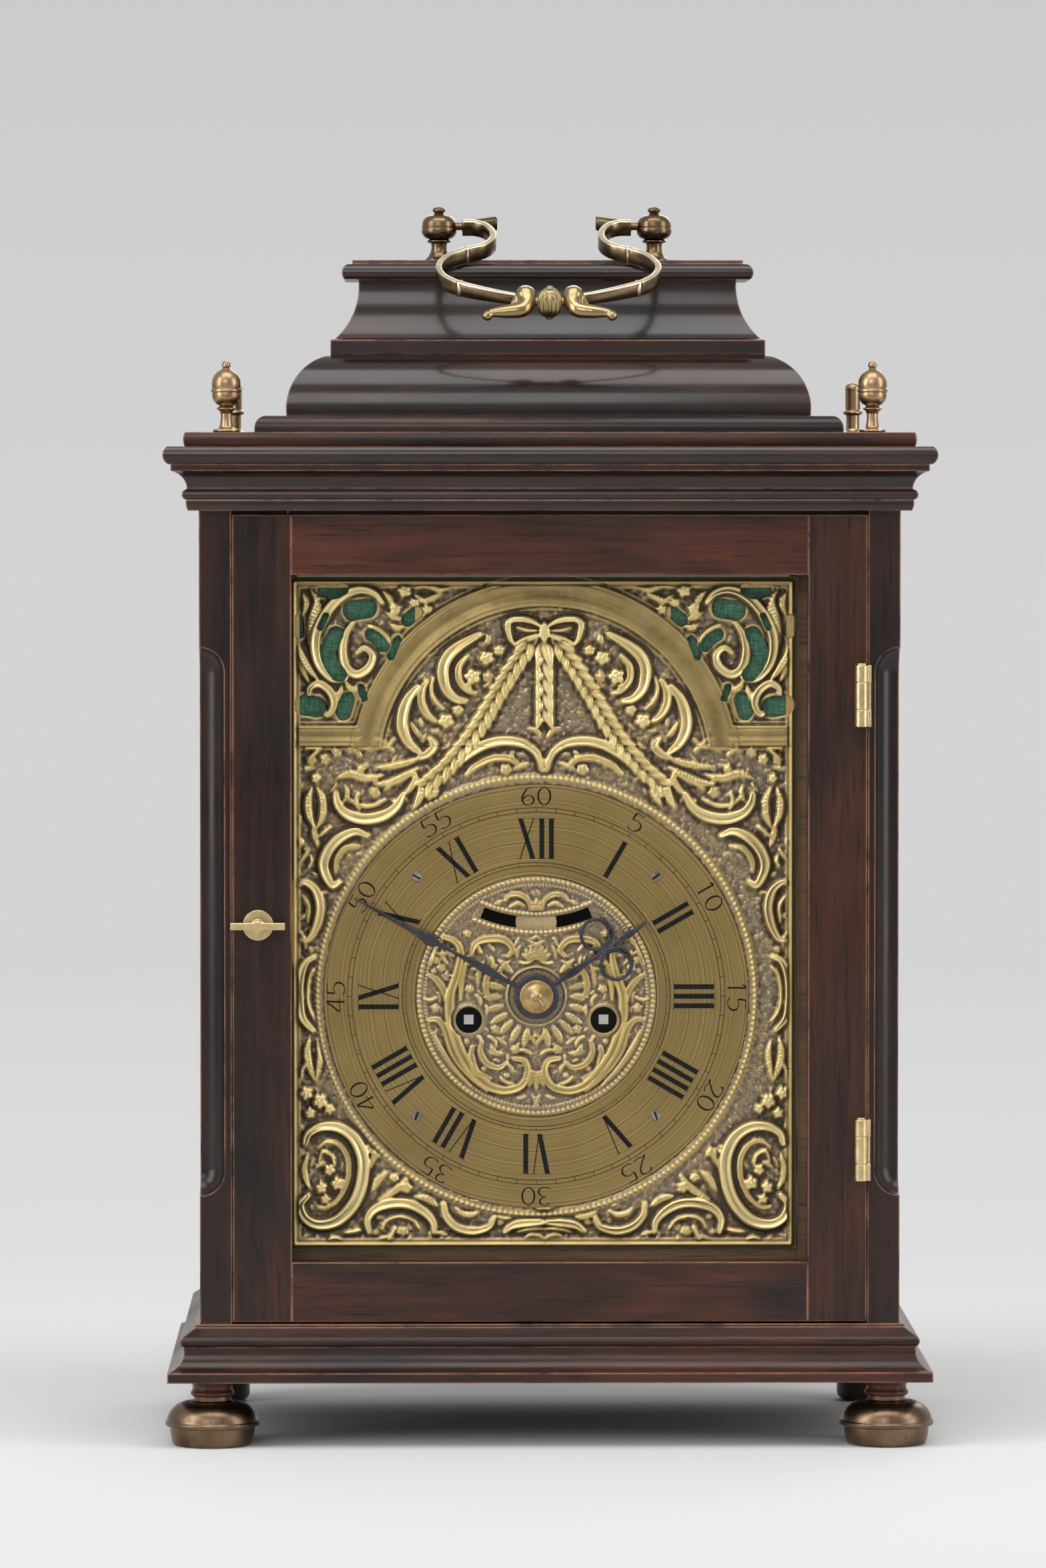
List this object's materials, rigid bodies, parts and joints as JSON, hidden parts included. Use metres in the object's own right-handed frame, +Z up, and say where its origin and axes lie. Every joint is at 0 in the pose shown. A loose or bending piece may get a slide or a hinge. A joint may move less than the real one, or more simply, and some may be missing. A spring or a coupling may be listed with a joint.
{
  "type": "bracket clock",
  "caption": "Spring-driven table clock in a glazed wooden case with a bell-shaped top, carrying handle and embossed arched dial.",
  "frame": {"origin": "centre of the clock's footprint, on the surface that it stands on", "axes": "+Z up, -Y out of the dial towards the viewer, +X to the viewer's right"},
  "size_m": [0.3124, 0.1924, 0.5041],
  "materials": {
    "ebonised_wood": "glossy black-brown shellac over ebonised fruitwood, worn to copper red on the edges",
    "inner_wood": "plain dark-stained hardwood",
    "aged_bronze": "cast bronze, brown patina, rubbed bright on the high spots",
    "pale_brass": "cast brass, satin",
    "embossed_brass": "thin embossed sheet, old gilding, grey-lilac in the ground",
    "ring_brass": "concentrically brushed, toned olive brown",
    "movement_brass": "filed and polished brass",
    "blued_steel": "blued steel, worn grey",
    "steel": "polished arbor steel",
    "bell_metal": "turned bell metal",
    "window_glass": "clear old window glass",
    "green_silk": "plain-woven green silk",
    "collar_wood": "red-brown turned wood"
  },
  "bodies": {
    "case": {"base_board": "ebonised_wood", "plinth_moulding": "ebonised_wood", "left_side": "ebonised_wood", "right_side": "ebonised_wood", "top_board": "inner_wood", "cornice_moulding": "ebonised_wood", "step_board": "ebonised_wood", "bell_base_board": "ebonised_wood", "bell_cushion": "ebonised_wood", "bell_neck": "ebonised_wood", "bell_top_board": "ebonised_wood", "front_feet": "aged_bronze", "foot_collars": "collar_wood", "rear_feet": "ebonised_wood", "finials": "pale_brass", "handle_knobs": "aged_bronze", "dial_mask": "inner_wood", "hinge_case_leaves": "pale_brass", "hinge_pins": "pale_brass", "dial_plate": "movement_brass", "dial_relief": "embossed_brass", "chapter_ring": "ring_brass", "centre_disc": "embossed_brass", "ring_screws": "steel", "dial_cloth": "green_silk", "front_plate": "movement_brass", "back_plate": "movement_brass", "movement_pillars": "movement_brass", "seat_board": "inner_wood", "strike_bell": "bell_metal", "bell_stand": "steel"},
    "front_door": {"door_stiles": "ebonised_wood", "door_rails": "ebonised_wood", "door_glass": "window_glass", "door_hinge_leaves": "pale_brass", "lock_case": "pale_brass"},
    "key": {"door_key": "pale_brass"},
    "bolt": {"lock_bolt": "steel"},
    "back_door": {"back_door_stiles": "ebonised_wood", "back_door_rails": "ebonised_wood", "back_door_glass": "window_glass", "back_door_hinge_leaves": "pale_brass"},
    "catch": {"back_door_catch": "pale_brass"},
    "handle": {"carrying_handle": "aged_bronze"},
    "minute_hand": {"minute_hand": "blued_steel", "hand_collet": "pale_brass", "cannon_wheel": "movement_brass"},
    "hour_hand": {"hour_hand": "blued_steel", "hour_wheel": "movement_brass"},
    "minute_wheel": {"minute_wheel": "movement_brass"},
    "centre_arbor": {"centre_arbor": "movement_brass"},
    "third_arbor": {"third_arbor": "movement_brass"},
    "escape_arbor": {"escape_arbor": "movement_brass"},
    "going_barrel": {"going_barrel": "movement_brass"},
    "strike_barrel": {"strike_barrel": "movement_brass"},
    "going_winding_arbor": {"going_winding_arbor": "steel"},
    "strike_winding_arbor": {"strike_winding_arbor": "steel"},
    "pendulum": {"pendulum": "movement_brass", "false_bob": "pale_brass"},
    "hammer": {"hammer": "steel"}
  },
  "joints": [
    {"name": "front_door_hinge", "type": "hinge", "parent": "case", "child": "front_door", "pos_m": [0.1259, -0.08485, 0.2], "axis": [0, 0, 1], "range_deg": [0, 150]},
    {"name": "back_door_hinge", "type": "hinge", "parent": "case", "child": "back_door", "pos_m": [-0.1259, 0.08485, 0.2], "axis": [0, 0, 1], "range_deg": [0, 150]},
    {"name": "key_turn", "type": "hinge", "parent": "front_door", "child": "key", "pos_m": [-0.1181, -0.085, 0.2113], "axis": [0, 1, 0], "range_deg": [0, 90]},
    {"name": "lock_bolt_slide", "type": "slide", "parent": "front_door", "child": "bolt", "axis": [-1, 0, 0], "range_m": [0, 0.00451]},
    {"name": "back_catch_turn", "type": "hinge", "parent": "case", "child": "catch", "pos_m": [0.1353, 0.082, 0.2137], "axis": [0, 1, 0], "range_deg": [-90, 0]},
    {"name": "handle_swing", "type": "hinge", "parent": "case", "child": "handle", "pos_m": [0, 0, 0.4961], "axis": [-1, 0, 0], "range_deg": [0, 228]},
    {"name": "minute_hand_spin", "type": "hinge", "parent": "case", "child": "minute_hand", "pos_m": [-0.0052, 0, 0.181], "axis": [0, 1, 0], "continuous": true},
    {"name": "hour_hand_spin", "type": "hinge", "parent": "case", "child": "hour_hand", "pos_m": [-0.0052, 0, 0.181], "axis": [0, 1, 0], "continuous": true},
    {"name": "minute_wheel_spin", "type": "hinge", "parent": "case", "child": "minute_wheel", "pos_m": [-0.0052, 0, 0.157], "axis": [0, 1, 0], "continuous": true},
    {"name": "centre_arbor_spin", "type": "hinge", "parent": "case", "child": "centre_arbor", "pos_m": [-0.0052, 0, 0.181], "axis": [0, 1, 0], "continuous": true},
    {"name": "third_arbor_spin", "type": "hinge", "parent": "case", "child": "third_arbor", "pos_m": [-0.00152, 0, 0.20876], "axis": [0, 1, 0], "continuous": true},
    {"name": "escape_arbor_spin", "type": "hinge", "parent": "case", "child": "escape_arbor", "pos_m": [-0.0052, 0, 0.235], "axis": [0, 1, 0], "continuous": true},
    {"name": "going_barrel_spin", "type": "hinge", "parent": "case", "child": "going_barrel", "pos_m": [0.0223, 0, 0.1713], "axis": [0, 1, 0], "continuous": true},
    {"name": "strike_barrel_spin", "type": "hinge", "parent": "case", "child": "strike_barrel", "pos_m": [-0.0327, 0, 0.1713], "axis": [0, 1, 0], "continuous": true},
    {"name": "going_winding_spin", "type": "hinge", "parent": "case", "child": "going_winding_arbor", "pos_m": [0.0223, 0, 0.1713], "axis": [0, 1, 0], "continuous": true},
    {"name": "strike_winding_spin", "type": "hinge", "parent": "case", "child": "strike_winding_arbor", "pos_m": [-0.0327, 0, 0.1713], "axis": [0, 1, 0], "continuous": true},
    {"name": "pendulum_swing", "type": "hinge", "parent": "case", "child": "pendulum", "pos_m": [-0.0052, 0, 0.2695], "axis": [0, 1, 0], "range_deg": [-5, 5]},
    {"name": "hammer_swing", "type": "hinge", "parent": "case", "child": "hammer", "pos_m": [0.0398, 0, 0.262], "axis": [0, 1, 0], "range_deg": [0, 12]}
  ],
  "couplings": [
    {"joint": "lock_bolt_slide", "follows": "key_turn", "m_per_rad": 0.0028648},
    {"joint": "hour_hand_spin", "follows": "minute_hand_spin", "ratio": 0.083333},
    {"joint": "minute_wheel_spin", "follows": "minute_hand_spin", "ratio": -1},
    {"joint": "centre_arbor_spin", "follows": "minute_hand_spin", "ratio": 1},
    {"joint": "going_barrel_spin", "follows": "minute_hand_spin", "ratio": -0.083333},
    {"joint": "third_arbor_spin", "follows": "minute_hand_spin", "ratio": -12},
    {"joint": "escape_arbor_spin", "follows": "minute_hand_spin", "ratio": 154}
  ]
}
